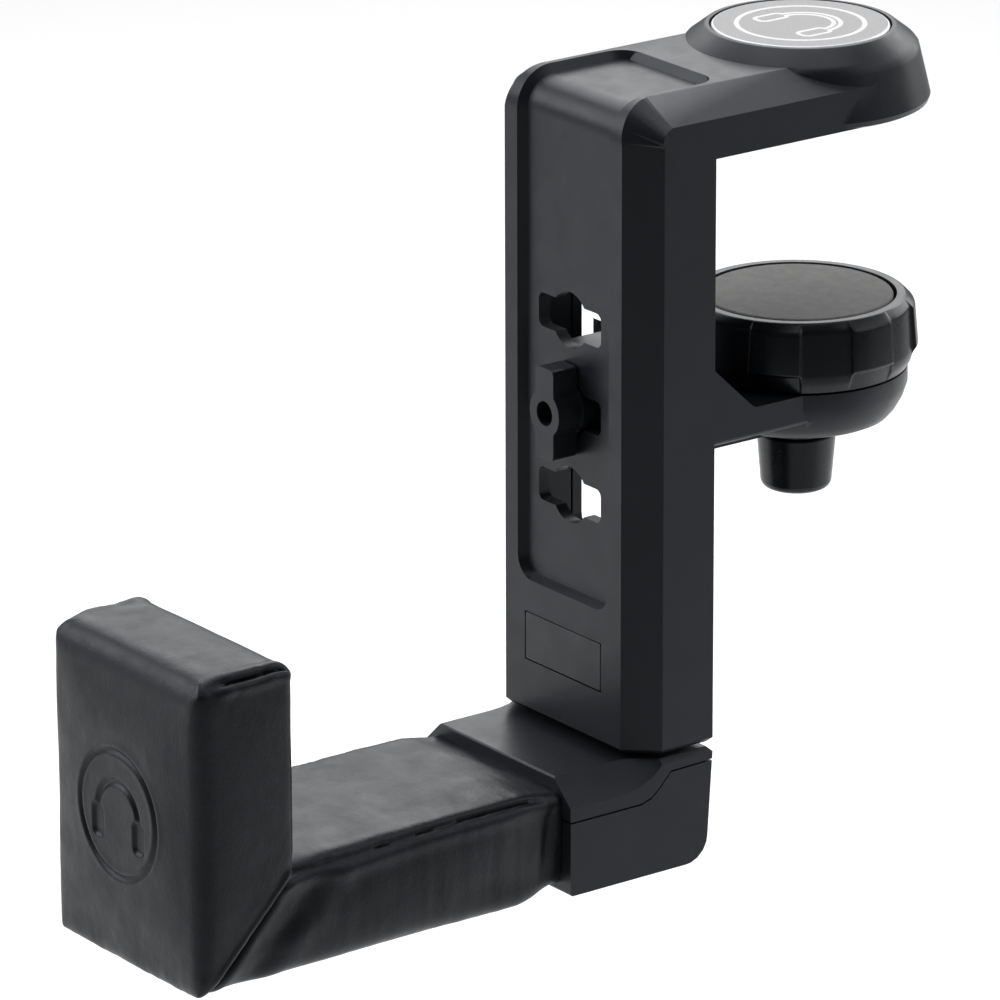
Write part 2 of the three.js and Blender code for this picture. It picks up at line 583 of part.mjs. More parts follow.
function buildLowerArm() {
  const { half, root, slopeStart, bottom, rootTop, gussetEnd, top } = LOWER_ARM;
  const at = [0, HEAD.y];
  const side = [[root, bottom, 1], [HEAD.y, bottom], [HEAD.y, top], [gussetEnd, top, 2]];
  side.push([slopeStart, rootTop, 1], [root, rootTop, 1]);
  const wide = WIDE_BAR;
  const barSection = plaque(-wide.half, wide.half, wide.bottom, rootTop + 8, 0.8);
  const profile = extruded("x", rounded(side), -wide.half, wide.half);
  const behindColumn = extruded("y", barSection, wide.start, HEAD.y);
  const bar = join(profile.intersect(behindColumn), extruded("x", rounded(side), -half, half));
  const spigot = CAP.bore + 1.1;
  const cup = turned(
    [
      [0, CUP.collarBottom - 3.6],
      [spigot, CUP.collarBottom - 3.6],
      [spigot, CUP.collarBottom],
      [CUP.collarRadius, CUP.collarBottom],
      [CUP.collarRadius, bottom],
      [CUP.floorRadius, bottom],
      [16.1, bottom + 0.6],
      [17.3, bottom + 2],
      [18.5, bottom + 4.2],
      [CUP.radius, bottom + 6.4],
      [CUP.radius, top],
      [0, top],
    ],
    { at },
  );
  const nutPocket = hexagon(NUT.acrossFlats + 0.6, NUT.bottom - GAP, top + 1, at);
  const bore = rod(CAP.bore, CUP.collarBottom - 5, top + 1, { at, facets: 32 });
  const keyAt = { axis: "y", at: [0, KEY_HEIGHT], facets: 32 };
  const keySocket = rod(KEY.neck + GAP, root - 1, root + 4, keyAt);
  const keyThread = rod(1.5, root, root + 11, { ...keyAt, facets: 12 });
  add("clamp_arm", cut(join(bar, cup), nutPocket, bore, keySocket, keyThread), FINISH.shell);

  const wings = extruded(
    "y",
    plaque(-KEY.wingHalf, KEY.wingHalf, KEY_HEIGHT - KEY.wing, KEY_HEIGHT + KEY.wing, 0.8, 2),
    KEY.front,
    KEY.back,
  );
  const boss = rod(KEY.boss, KEY.front, KEY.back, keyAt);
  const neck = rod(KEY.neck, KEY.back - 0.1, root + 3.7, keyAt);
  const seatEnd = root + 0.6;
  const headSeat = rod(KEY.bore, KEY.front - 1, seatEnd, keyAt);
  const shankBore = rod(1.5, seatEnd - 1, root + 5, { ...keyAt, facets: 12 });
  add("lock_key", cut(join(wings, boss, neck), headSeat, shankBore), FINISH.shell);
  const screwHead = rod(1.8, seatEnd - 2.5, seatEnd - GAP, keyAt);
  const screwShank = rod(1.2, seatEnd - GAP - 0.1, root + 10, { ...keyAt, facets: 12 });
  add("key_screw", join(screwHead, screwShank), FINISH.steel);

  const nutRound = rod(SCREW.radius + GAP, NUT.bottom - 1, NUT.bottom + NUT.tall + 1, { at, facets: 32 });
  add(
    "screw_nut",
    cut(hexagon(NUT.acrossFlats, NUT.bottom, NUT.bottom + NUT.tall, at), nutRound),
    FINISH.steel,
  );
  const capTop = CUP.collarBottom - GAP;
  const mouthBottom = CUP.collarBottom - 3.6 - GAP;
  const cap = turned(
    [
      [0, CAP.bottom],
      [CAP.bottomRadius - 1.1, CAP.bottom],
      [CAP.bottomRadius - 0.3, CAP.bottom + 0.4],
      [CAP.bottomRadius, CAP.bottom + 1.2],
      [CAP.topRadius, capTop],
      [spigot + GAP, capTop],
      [spigot + GAP, mouthBottom],
      [CAP.bore, mouthBottom],
      [CAP.bore, CAP.bottom + CAP.floor],
      [0, CAP.bottom + CAP.floor],
    ],
    { at, facets: 48 },
  );
  add("screw_cap", cap, FINISH.blackPlastic);
}

// ---------- screw knob and its pad ----------
function knobLobes(at) {
  const { lobes, firstLobe, bottom, top } = KNOB;
  const ring = turned(
    [
      [18, bottom + 3.6],
      [21.1, bottom + 3.6],
      [20.4, top - 1.5],
      [19.4, top - 0.3],
      [18, top - 0.3],
      [18, bottom + 3.6],
    ],
    { at },
  );
  const wedges = Array.from({ length: lobes }, (_, i) => {
    const middle = THREE.MathUtils.degToRad(firstLobe) + (i * 2 * Math.PI) / lobes;
    const spread = Math.PI / lobes / 2;
    const point = (angle, radius) => [at[0] + Math.cos(angle) * radius, at[1] + Math.sin(angle) * radius];
    const outline = [point(middle, 5), point(middle - spread, 24), point(middle + spread, 24)];
    return extruded("z", outline, bottom, top);
  });
  return ring.intersect(join(...wedges));
}

function buildKnob() {
  const { bottom, top, recessRadius, recessFloor } = KNOB;
  const at = [0, HEAD.y];
  const place = { at, facets: 32 };
  const body = turned(
    [
      [0, bottom],
      [CUP.radius, bottom],
      [20, bottom + 1.9],
      [20.4, bottom + 3.4],
      [19.6, top - 1],
      [18.9, top],
      [recessRadius, top],
      [recessRadius, recessFloor],
      [0, recessFloor],
    ],
    { at },
  );
  const underside = turned([[9.5, bottom - 1], [17, bottom - 1], [16.5, 61.5], [9.5, 61.5], [9.5, bottom - 1]], {
    at,
    facets: 48,
  });
  const ribs = Array.from({ length: 3 }, (_, i) => {
    const rib = new THREE.BoxGeometry(36, 1.6, 7).rotateZ((i * Math.PI) / 3);
    return solid(rib.translate(at[0], at[1], bottom + 4));
  });
  const screwBore = rod(SCREW.radius + GAP, bottom - 1, recessFloor, place);
  const headBottom = SCREW.headTop - SCREW.headTall;
  const headRoom = hexagon(SCREW.acrossFlats + 0.6, headBottom - GAP, recessFloor + 1, at);
  const hollow = cut(underside, ...ribs);
  add("clamp_knob", cut(join(body, knobLobes(at)), hollow, screwBore, headRoom), FINISH.blackPlastic);

  const shank = turned(
    [
      [0, SCREW.bottom],
      [SCREW.radius - 1, SCREW.bottom],
      [SCREW.radius, SCREW.bottom + 1],
      [SCREW.radius, headBottom + 0.1],
      [0, headBottom + 0.1],
    ],
    place,
  );
  const bolt = join(shank, hexagon(SCREW.acrossFlats, headBottom, SCREW.headTop, at));
  add("clamp_screw", cut(bolt, rod(1.9, 60, 70, { at })), FINISH.steel);

  const plateBottom = recessFloor + GAP;
  const plateTop = plateBottom + 1.7;
  const plate = rod(recessRadius - GAP, plateBottom, plateTop, { at, facets: ROUND });
  add("pad_plate", cut(plate, rod(1.9, 60, 70, { at })), FINISH.blackPlastic);
  add("pad_pin", rod(1.6, 60.4, plateTop, { at }), FINISH.steel);
  const rubberBottom = plateTop + GAP;
  const pad = [
    [0, rubberBottom],
    [recessRadius - 0.5, rubberBottom],
    [recessRadius - 0.5, top - 0.3],
    [recessRadius - 0.9, top],
    [0, top],
  ];
  add("pad_rubber", turned(pad, { at }), FINISH.rubber);
}

buildFrame();
buildPivot();
buildBase();
buildPads();
buildLowerArm();
buildKnob();

assembly.position.set(0, -HEAD.y, -JAW.face);
const headphoneHook = new THREE.Group();
headphoneHook.add(assembly);
export default headphoneHook;
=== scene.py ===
import json
import math

import bmesh
import bpy
import numpy as np
from mathutils import Matrix, Vector, noise

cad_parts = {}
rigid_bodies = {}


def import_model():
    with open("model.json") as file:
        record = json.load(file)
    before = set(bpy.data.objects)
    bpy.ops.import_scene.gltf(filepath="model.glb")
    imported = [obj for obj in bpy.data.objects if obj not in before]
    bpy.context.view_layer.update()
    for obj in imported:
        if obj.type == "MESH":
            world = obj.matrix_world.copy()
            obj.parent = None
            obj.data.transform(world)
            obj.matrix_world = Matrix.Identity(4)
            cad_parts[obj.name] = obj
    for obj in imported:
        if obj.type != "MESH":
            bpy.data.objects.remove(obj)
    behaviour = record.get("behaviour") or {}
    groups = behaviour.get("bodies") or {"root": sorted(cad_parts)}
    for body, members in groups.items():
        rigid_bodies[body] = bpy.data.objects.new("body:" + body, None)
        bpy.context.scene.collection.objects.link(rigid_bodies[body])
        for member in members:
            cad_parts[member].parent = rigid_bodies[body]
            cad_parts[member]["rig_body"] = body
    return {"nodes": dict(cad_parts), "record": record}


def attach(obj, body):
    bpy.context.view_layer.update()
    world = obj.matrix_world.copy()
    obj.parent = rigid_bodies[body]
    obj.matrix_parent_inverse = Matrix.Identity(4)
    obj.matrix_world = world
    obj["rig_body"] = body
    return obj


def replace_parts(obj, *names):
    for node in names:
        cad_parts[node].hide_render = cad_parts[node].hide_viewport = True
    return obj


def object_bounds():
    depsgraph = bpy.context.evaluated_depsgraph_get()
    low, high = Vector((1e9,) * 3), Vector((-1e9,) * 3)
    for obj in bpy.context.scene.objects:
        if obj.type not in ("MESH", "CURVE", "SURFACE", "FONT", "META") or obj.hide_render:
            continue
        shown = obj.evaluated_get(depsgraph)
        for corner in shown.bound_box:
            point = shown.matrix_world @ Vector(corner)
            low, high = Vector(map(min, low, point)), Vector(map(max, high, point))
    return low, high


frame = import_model()
CAD_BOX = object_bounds()

MM = 0.001
# The drawing frame of the object, in millimetres, has its zero at the foot of the column's front
# face. These two offsets turn it into the row frame, whose zero is on the jaw pad.
HEAD_Y = 51.0
JAW_Z = 103.1


def place(x, y, z):
    """A point of the drawing frame, in millimetres, as a point of the row frame, in metres."""
    return Vector((x, y - HEAD_Y, z - JAW_Z)) * MM


# ---------- camera, floor and light ----------
CAMERA_AZIMUTH = 52.87
CAMERA_ELEVATION = 18.82
CAMERA_PLACE = (1005.6, -761.4, 472.1)
CAMERA_LENS = 281.7
CAMERA_SHIFT = (-0.0625, -0.0049)


def make_camera():
    data = bpy.data.cameras.new("camera")
    data.lens = CAMERA_LENS
    data.sensor_width = 36
    data.shift_x, data.shift_y = CAMERA_SHIFT
    data.clip_end = 20
    camera = bpy.data.objects.new("camera", data)
    camera.location = place(*CAMERA_PLACE)
    camera.rotation_euler = (math.radians(90 - CAMERA_ELEVATION), 0, math.radians(CAMERA_AZIMUTH))
    bpy.context.scene.collection.objects.link(camera)
    bpy.context.scene.camera = camera


def clear_from_below(tree, shader):
    """Makes a one-sided material: the shader on the front of each face, nothing on its back."""
    facing = tree.nodes.new("ShaderNodeNewGeometry")
    clear = tree.nodes.new("ShaderNodeBsdfTransparent")
    pick = tree.nodes.new("ShaderNodeMixShader")
    tree.links.new(facing.outputs["Backfacing"], pick.inputs[0])
    tree.links.new(shader.outputs[0], pick.inputs[1])
    tree.links.new(clear.outputs[0], pick.inputs[2])
    tree.links.new(pick.outputs[0], tree.nodes["Material Output"].inputs["Surface"])


def make_floor(drop):
    """A wide pale floor, a little below the object, which hangs from a desk that isn't shown."""
    low = min(CAD_BOX[0][2], CAD_BOX[1][2]) - drop
    bm = bmesh.new()
    bmesh.ops.create_circle(bm, cap_ends=True, radius=6, segments=96)
    mesh = bpy.data.meshes.new("floor")
    bm.to_mesh(mesh)
    bm.free()
    floor = bpy.data.objects.new("floor", mesh)
    floor.location.z = low
    bpy.context.scene.collection.objects.link(floor)
    material = bpy.data.materials.new("floor")
    material.use_nodes = True
    shader = material.node_tree.nodes["Principled BSDF"]
    shader.inputs["Base Color"].default_value = (0.9, 0.9, 0.9, 1)
    shader.inputs["Roughness"].default_value = 0.9
    shader.inputs["Specular IOR Level"].default_value = 0.1
    clear_from_below(material.node_tree, shader)
    mesh.materials.append(material)


LIGHTS = {
    # name: (direction from the object, distance, width, height, watts)
    "back_left": ((-0.755, 0.571, 0.36), 1.5, 1.3, 0.8, 1.46),
    "left_low": ((-0.755, -0.571, -0.22), 1.2, 0.9, 0.6, 1.05),
    "right_back_low": ((0.508, 0.816, -0.274), 0.53, 0.34, 0.4, 0.11),
    "top": ((0.0, 0.1, 1.0), 1.2, 1.0, 1.0, 3.8),
    "left_front_high": ((-0.7, -0.7, 0.6), 1.3, 0.9, 0.9, 7.4),
    "right_back_high": ((0.7, 0.7, 0.6), 1.3, 0.9, 0.9, 2.1),
    "back": ((-0.1, 1.0, 0.3), 1.3, 0.9, 0.8, 5.0),
}
AIM = (0.0, -45.0, 50.0)
WORLD_LEVEL = 0.065
FLOOR_DROP = 0.35
# The wash lights the part of the floor that the camera looks down on, behind the object.
WASH = {"place": (-1.15, 0.85), "height": 1.1, "size": 1.9, "watts": 24}


def add_light(name, location, aim, width, height, watts):
    data = bpy.data.lights.new(name, "AREA")
    data.shape = "RECTANGLE"
    data.size, data.size_y, data.energy = width, height, watts
    light = bpy.data.objects.new(name, data)
    light.location = location
    light.rotation_euler = (light.location - Vector(aim)).to_track_quat("Z", "Y").to_euler()
    light.visible_camera = False
    bpy.context.scene.collection.objects.link(light)


def make_lights():
    aim = place(*AIM)
    for name, (direction, distance, width, height, watts) in LIGHTS.items():
        add_light(name, aim + Vector(direction).normalized() * distance, aim, width, height, watts)
    floor_height = CAD_BOX[0][2] - FLOOR_DROP
    x, y = WASH["place"]
    above, on_floor = Vector((x, y, floor_height + WASH["height"])), Vector((x, y, floor_height))
    add_light("floor_wash", above, on_floor, WASH["size"], WASH["size"], WASH["watts"])
    world = bpy.data.worlds.new("studio")
    world.use_nodes = True
    world.node_tree.nodes["Background"].inputs["Color"].default_value = (1, 1, 1, 1)
    world.node_tree.nodes["Background"].inputs["Strength"].default_value = WORLD_LEVEL
    bpy.context.scene.world = world
    bpy.context.scene.view_settings.view_transform = "Standard"


make_camera()
make_floor(FLOOR_DROP)
make_lights()


# ---------- materials ----------
class Nodes:
    """A material's node tree, with short ways to add and join nodes."""

    def __init__(self, name, base, roughness, metallic=0.0, specular=0.5):
        self.material = bpy.data.materials.new(name)
        self.material.use_nodes = True
        self.tree = self.material.node_tree
        self.shader = self.tree.nodes["Principled BSDF"]
        self.set(self.shader, "Base Color", (*base, 1))
        self.set(self.shader, "Roughness", roughness)
        self.set(self.shader, "Metallic", metallic)
        self.set(self.shader, "Specular IOR Level", specular)
        self.point = self.add("ShaderNodeTexCoord").outputs["Object"]

    def add(self, kind, **values):
        node = self.tree.nodes.new(kind)
        for key, value in values.items():
            setattr(node, key, value)
        return node

    def set(self, node, socket, value):
        target = node.inputs[socket]
        if isinstance(value, bpy.types.NodeSocket):
            self.tree.links.new(value, target)
        else:
            target.default_value = value

    def stretch(self, scale):
        """The object's own coordinates, scaled differently along each axis."""
        node = self.add("ShaderNodeMapping")
        self.set(node, "Vector", self.point)
        node.inputs["Scale"].default_value = scale
        return node.outputs["Vector"]

    def noise(self, scale, detail=3.0, rough=0.55, vector=None, distortion=0.0):
        node = self.add("ShaderNodeTexNoise")
        self.set(node, "Vector", vector or self.point)
        self.set(node, "Scale", scale)
        self.set(node, "Detail", detail)
        self.set(node, "Roughness", rough)
        self.set(node, "Distortion", distortion)
        return node.outputs["Fac"]

    def cells(self, scale, feature="F1", vector=None):
        node = self.add("ShaderNodeTexVoronoi", feature=feature)
        self.set(node, "Vector", vector or self.point)
        self.set(node, "Scale", scale)
        return node.outputs["Distance"]

    def math(self, operation, a, b=0.0):
        node = self.add("ShaderNodeMath", operation=operation)
        self.set(node, 0, a)
        self.set(node, 1, b)
        return node.outputs[0]

    def ramp(self, value, low, high, to_low=0.0, to_high=1.0):
        node = self.add("ShaderNodeMapRange")
        for socket, v in zip(("Value", "From Min", "From Max", "To Min", "To Max"),
                             (value, low, high, to_low, to_high)):
            self.set(node, socket, v)
        return node.outputs["Result"]

    def mix(self, share, a, b):
        node = self.add("ShaderNodeMix", data_type="RGBA")
        self.set(node, "Factor", share)
        self.set(node, 6, (*a, 1) if isinstance(a, tuple) else a)
        self.set(node, 7, (*b, 1) if isinstance(b, tuple) else b)
        return node.outputs[2]

    def bump(self, height, distance, strength=1.0, normal=None):
        node = self.add("ShaderNodeBump")
        self.set(node, "Height", height)
        node.inputs["Distance"].default_value = distance
        node.inputs["Strength"].default_value = strength
        if normal is not None:
            self.set(node, "Normal", normal)
        return node.outputs["Normal"]

    def finish(self, **sockets):
        for socket, value in sockets.items():
            self.set(self.shader, socket.replace("_", " "), value)
        return self.material


class Term:
    """A number in a node tree, for which the shapes below work just as they do for arrays."""

    def __init__(self, nodes, socket):
        self.nodes, self.socket = nodes, socket

    def step(self, operation, *others):
        node = self.nodes.add("ShaderNodeMath", operation=operation)
        for slot, value in enumerate((self, *others)):
            self.nodes.set(node, slot, value.socket if isinstance(value, Term) else value)
        return Term(self.nodes, node.outputs[0])

    def __add__(self, other):
        return self.step("ADD", other)

    def __sub__(self, other):
        return self.step("SUBTRACT", other)

    def __mul__(self, other):
        return self.step("MULTIPLY", other)

    def __abs__(self):
        return self.step("ABSOLUTE")


def larger(a, b):
    return a.step("MAXIMUM", b) if isinstance(a, Term) else np.maximum(a, b)


def smaller(a, b):
    return a.step("MINIMUM", b) if isinstance(a, Term) else np.minimum(a, b)


def root(a):
    return a.step("SQRT") if isinstance(a, Term) else np.sqrt(a)


def pictogram(x, y):
    """Signed distance to a plain pair of headphones, 12 mm wide, in millimetres."""
    band_radius, band_half, cup_half, cup_tall, cup_round = 4.9, 0.5, 1.3, 2.4, 1.0
    side = abs(x)
    above = larger(y, 0.0)
    band = larger(abs(root(side * side + above * above) - band_radius) - band_half, y * -1.0 - 2.0)
    across = larger(abs(side - band_radius) - (cup_half - cup_round), 0.0)
    along = larger(abs(y + 1.9) - (cup_tall - cup_round), 0.0)
    return smaller(band, root(across * across + along * along) - cup_round)


COOL_SHEEN = (0.86, 0.92, 1.0, 1)  # the tint of highlights on the dark plastic and leather


def moulded_plastic(name, base, roughness, grain=0.012, specular=0.5):
    """Moulded plastic: a fine spark-eroded grain, faint clouding and slightly polished high spots."""
    n = Nodes(name, base, roughness, specular=specular)
    n.set(n.shader, "Specular Tint", COOL_SHEEN)
    grain_height = n.noise(3600, 2, 0.6)
    cloud = n.noise(38, 4, 0.6)
    dark = tuple(c * 0.86 for c in base)
    light = tuple(c * 1.16 for c in base)
    return n.finish(
        Base_Color=n.mix(n.ramp(cloud, 0.35, 0.65), dark, light),
        Roughness=n.ramp(n.noise(220, 4, 0.6), 0.3, 0.7, roughness - 0.045, roughness + 0.045),
        Normal=n.bump(grain_height, grain * MM),
    )


def steel():
    """Zinc-plated steel: fine drawn lines and a faint tarnish."""
    n = Nodes("zinc_steel", (0.5, 0.5, 0.51), 0.34, metallic=1.0)
    lines = n.noise(900, 2, 0.5, n.stretch((1, 1, 0.08)))
    return n.finish(
        Base_Color=n.mix(n.ramp(n.noise(120, 4), 0.35, 0.7), (0.42, 0.42, 0.42), (0.58, 0.58, 0.6)),
        Roughness=n.ramp(lines, 0.3, 0.7, 0.26, 0.44),
        Normal=n.bump(lines, 0.01 * MM),
    )


def rubber():
    """Moulded rubber: matte, with the mottling of a pressed sheet."""
    n = Nodes("rubber", (0.1, 0.1, 0.1), 0.75)
    mottle = n.noise(420, 5, 0.7)
    return n.finish(
        Base_Color=n.mix(n.ramp(mottle, 0.38, 0.62), (0.13, 0.13, 0.128), (0.2, 0.2, 0.197)),
        Roughness=n.ramp(mottle, 0.3, 0.7, 0.68, 0.85),
        Normal=n.bump(n.noise(1500, 4, 0.7), 0.05 * MM),
    )


# The badge's print and rim, in millimetres from its centre.
BADGE = {"ring": 11.0, "ring_half": 0.42, "outline_half": 0.32, "rim_from": 14.95, "rim_full": 15.0}
PRINT_EDGE = 0.05  # half the width over which the print's edge fades


def badge_metal():
    """Grey anodised metal with a fine blasted grain, a white print and a bright turned rim."""
    n = Nodes("badge_metal", (0.3, 0.3, 0.31), 0.42, metallic=0.85)
    speck = n.noise(2600, 3, 0.65)
    split = n.add("ShaderNodeSeparateXYZ")
    n.set(split, "Vector", n.point)
    x, y = (Term(n, split.outputs[i]) * 1000.0 for i in (0, 1))
    from_centre = root(x * x + y * y)
    ring = abs(from_centre - BADGE["ring"]) - BADGE["ring_half"]
    outline = abs(pictogram(x * 0.83, y * 0.83 - 0.4)) - BADGE["outline_half"]
    printed = n.ramp(smaller(ring, outline).socket, PRINT_EDGE, -PRINT_EDGE)
    rim = n.ramp(from_centre.socket, BADGE["rim_from"], BADGE["rim_full"])
    metal = n.mix(n.ramp(speck, 0.35, 0.68), (0.2, 0.2, 0.204), (0.31, 0.31, 0.317))
    bare = n.ramp(printed, 0.0, 1.0, 1.0, 0.0)
    return n.finish(
        Base_Color=n.mix(printed, n.mix(rim, metal, (0.72, 0.72, 0.73)), (0.86, 0.86, 0.86)),
        Metallic=n.math("MULTIPLY", bare, 0.85),
        Roughness=n.ramp(speck, 0.3, 0.7, 0.36, 0.5),
        Normal=n.bump(speck, 0.015 * MM),
    )


def leather():
    """Black synthetic leather: a pebble grain, fine creases and a soft uneven sheen."""
    n = Nodes("leather", (0.0095, 0.011, 0.0155), 0.4)
    n.set(n.shader, "Specular Tint", COOL_SHEEN)
    pebble = n.cells(1900, "SMOOTH_F1")
    pores = n.noise(2400, 3, 0.6)
    creases = n.ramp(n.noise(330, 4, 0.65, n.stretch((1, 1, 0.5)), distortion=1.2), 0.44, 0.6)
    grain = n.math("ADD", n.math("MULTIPLY", pebble, 0.7), n.math("MULTIPLY", pores, 0.6))
    grain = n.math("ADD", grain, n.math("MULTIPLY", creases, 0.3))
    worn = n.noise(55, 5, 0.6)
    return n.finish(
        Base_Color=n.mix(n.ramp(worn, 0.3, 0.7), (0.0078, 0.0086, 0.0112), (0.0115, 0.0126, 0.016)),
        Roughness=n.ramp(n.noise(160, 5, 0.65), 0.3, 0.7, 0.36, 0.5),
        Normal=n.bump(grain, 0.035 * MM),
    )


MATERIALS = {
    "shell_plastic": moulded_plastic("shell_plastic", (0.0152, 0.0168, 0.021), 0.38),
    "black_plastic": moulded_plastic("black_plastic", (0.0065, 0.0072, 0.0095), 0.3, grain=0.004),
    "label_plastic": moulded_plastic("label_plastic", (0.05, 0.052, 0.057), 0.45, grain=0.004),
    "steel": steel(),
    "rubber": rubber(),
    "badge_metal": badge_metal(),
    "leather": leather(),
    "foam": rubber(),
}
SLOT_OF = {part["node"]: part["material_slot"] for part in frame["record"]["subparts"]}


# ---------- pieces ----------
def link(name, mesh, body, slot, smooth_angle=35):
    """A new piece that rides on a body and takes its finish from a material slot."""
    piece = bpy.data.objects.new(name, mesh)
    bpy.context.scene.collection.objects.link(piece)
    mesh.materials.clear()
    mesh.materials.append(MATERIALS[slot])
    mesh.shade_smooth()
    mesh.set_sharp_from_angle(angle=math.radians(smooth_angle))
    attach(piece, body)
    return piece


def applied(piece):
    """The piece with its modifiers made part of its mesh."""
    bpy.context.view_layer.update()
    evaluated = piece.evaluated_get(bpy.context.evaluated_depsgraph_get())
    mesh = bpy.data.meshes.new_from_object(evaluated)
    piece.modifiers.clear()
    piece.data = mesh
    return piece


# The frame's top corner, in the drawing frame: the centre that it sweeps round, and how far the
# chamfer beside it leans out of the side plane, in degrees, on the column and on the arm.
CORNER = {"y": 7.0, "z": 107.5, "beyond": 2.0, "inside": 13.0, "column_lean": 41.0, "arm_lean": 62.6}
CHAMFER_X = (0.4, 0.9)  # the share of x in the normal of a chamfer's face
STEEPEST_CHANGE = math.radians(24)  # a normal further than this from its face's is left alone


def drawn(point):
    """A point of the row frame, in metres, as a point of the drawing frame, in millimetres."""
    return point / MM + Vector((0, HEAD_Y, JAW_Z))


def on_corner_chamfer(face):
    middle, n = drawn(face.center), face.normal
    slanted = CHAMFER_X[0] < abs(n.x) < CHAMFER_X[1] and n.y <= -0.01 and n.z >= 0.01
    forward = middle.y < CORNER["y"] + CORNER["beyond"]
    high = middle.z > CORNER["z"] - CORNER["beyond"]
    return slanted and forward and high and abs(middle.x) > CORNER["inside"]


def swept_normal(point, side):
    """The normal of a true sweep at a point of the chamfer. The sign of side says which chamfer."""
    turn = math.atan2(max(point.z - CORNER["z"], 0), max(CORNER["y"] - point.y, 1e-3))
    share = turn / (math.pi / 2)
    lean = math.radians(CORNER["column_lean"] * (1 - share) + CORNER["arm_lean"] * share)
    x = math.copysign(math.cos(lean), side)
    return Vector((x, -math.cos(turn) * math.sin(lean), math.sin(turn) * math.sin(lean)))


def smooth_corner(mesh):
    """Gives the chamfer that sweeps round the frame's top corner the normals of a true sweep."""
    normals = [Vector(corner.vector) for corner in mesh.corner_normals]
    for face in filter(on_corner_chamfer, mesh.polygons):
        for corner in face.loop_indices:
            if normals[corner].angle(face.normal) <= STEEPEST_CHANGE:
                point = drawn(mesh.vertices[mesh.loops[corner].vertex_index].co)
                normals[corner] = swept_normal(point, face.normal.x)
    mesh.normals_split_custom_set(normals)


# Short edges crowd together where the frame's chamfers meet at that corner, and they would choke
# the bevel, so points with an edge shorter than "short" are merged. Millimetres.
CROWDED = {"short": 0.4, "merge": 0.45, "before_y": 16.0, "above_z": 100.0}


def merge_crowded(bm):
    def crowded(v):
        at = drawn(v.co)
        shortest = min((e.calc_length() for e in v.link_edges), default=1.0)
        in_corner = at.y < CROWDED["before_y"] and at.z > CROWDED["above_z"]
        return in_corner and shortest < CROWDED["short"] * MM

    bmesh.ops.remove_doubles(bm, verts=[v for v in bm.verts if crowded(v)], dist=CROWDED["merge"] * MM)


BEVEL = {"segments": 3, "angle": 28}  # edges sharper than the angle, in degrees, are rounded


def rounded_copy(node, width):
    """A copy of a CAD node with its edges rounded over by a bevel, which stands for that node."""
    source = frame["nodes"][node]
    bm = bmesh.new()
    bm.from_mesh(source.data)
    bmesh.ops.remove_doubles(bm, verts=bm.verts, dist=2e-6)
    if node == "frame_shell":
        merge_crowded(bm)
    bmesh.ops.dissolve_limit(bm, angle_limit=math.radians(0.6), verts=bm.verts, edges=bm.edges)
    mesh = bpy.data.meshes.new("fine_" + node)
    bm.to_mesh(mesh)
    bm.free()
    piece = link("fine_" + node, mesh, source["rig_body"], SLOT_OF[node])
    bevel = piece.modifiers.new("edge", "BEVEL")
    bevel.width = width * MM
    bevel.segments = BEVEL["segments"]
    bevel.limit_method = "ANGLE"
    bevel.angle_limit = math.radians(BEVEL["angle"])
    bevel.use_clamp_overlap = True
    bevel.miter_outer = "MITER_ARC"
    weigh = piece.modifiers.new("normals", "WEIGHTED_NORMAL")
    weigh.keep_sharp = True
    applied(piece)
    if node == "frame_shell":
        smooth_corner(piece.data)
    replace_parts(piece, node)
    return piece


# ---------- padded hook ----------
# Both pads start as a fine grid over a box, whose edges are rounded one by one. Millimetres of the
# drawing frame throughout, turned into the row frame at the end.
POST = {"half": 21.6, "front": -90.7, "back": -71.3, "low": -22.5, "high": 33.9}
ARM = {"half": 18.9, "tuck": -9.0, "mouth": -14.6, "low": -22.1, "high": -2.5}
MITRE_HIGH = (POST["back"], ARM["high"])  # (y, z) of the seam's two ends, on the sides
MITRE_LOW = (-90.0, POST["low"])
EMBLEM = {"z": 5.5, "radius": 11.0}
SEAM_ROLL = 1.3  # the radius with which a skin rolls inwards at the mitre
MOUTH_LIFT, MOUTH_NARROW = 1.9, 0.75  # how the arm's pad is squeezed where it enters the base
PRESSURE = 4
LARGEST_SWELL = 1.2  # the furthest that the simulation may move a point
SIMULATED_FRAMES = 20


def smooth(t):
    t = np.clip(t, 0, 1)
    return t * t * (3 - 2 * t)


def near(distance, width):
    """A soft bump of height 1 at zero distance."""
    return np.exp(-((distance / width) ** 2))


def wave(points, scale, seed=0.0):
    """Smooth noise of about -1 to 1 at each point, with its own scale along each axis."""
    offset = Vector((seed, -seed, 2 * seed))
    return np.array([noise.noise(Vector(p) + offset) for p in points * np.asarray(scale)]) * 1.6


def box_grid(counts):
    """The surface of a cube from -1 to 1, cut into counts[i] cells along each axis."""
    index, corners, faces = {}, [], []

    def vertex(cell):
        if cell not in index:
            index[cell] = len(corners)
            corners.append([2 * c / n - 1 for c, n in zip(cell, counts)])
        return index[cell]

    for axis in range(3):
        u, v = (axis + 1) % 3, (axis + 2) % 3
        for side in (0, counts[axis]):
            for i in range(counts[u]):
                for j in range(counts[v]):
                    ring = []
                    for di, dj in ((0, 0), (1, 0), (1, 1), (0, 1)):
                        cell = [0, 0, 0]
                        cell[axis], cell[u], cell[v] = side, i + di, j + dj
                        ring.append(vertex(tuple(cell)))
                    faces.append(ring if side else ring[::-1])
    return np.array(corners), faces


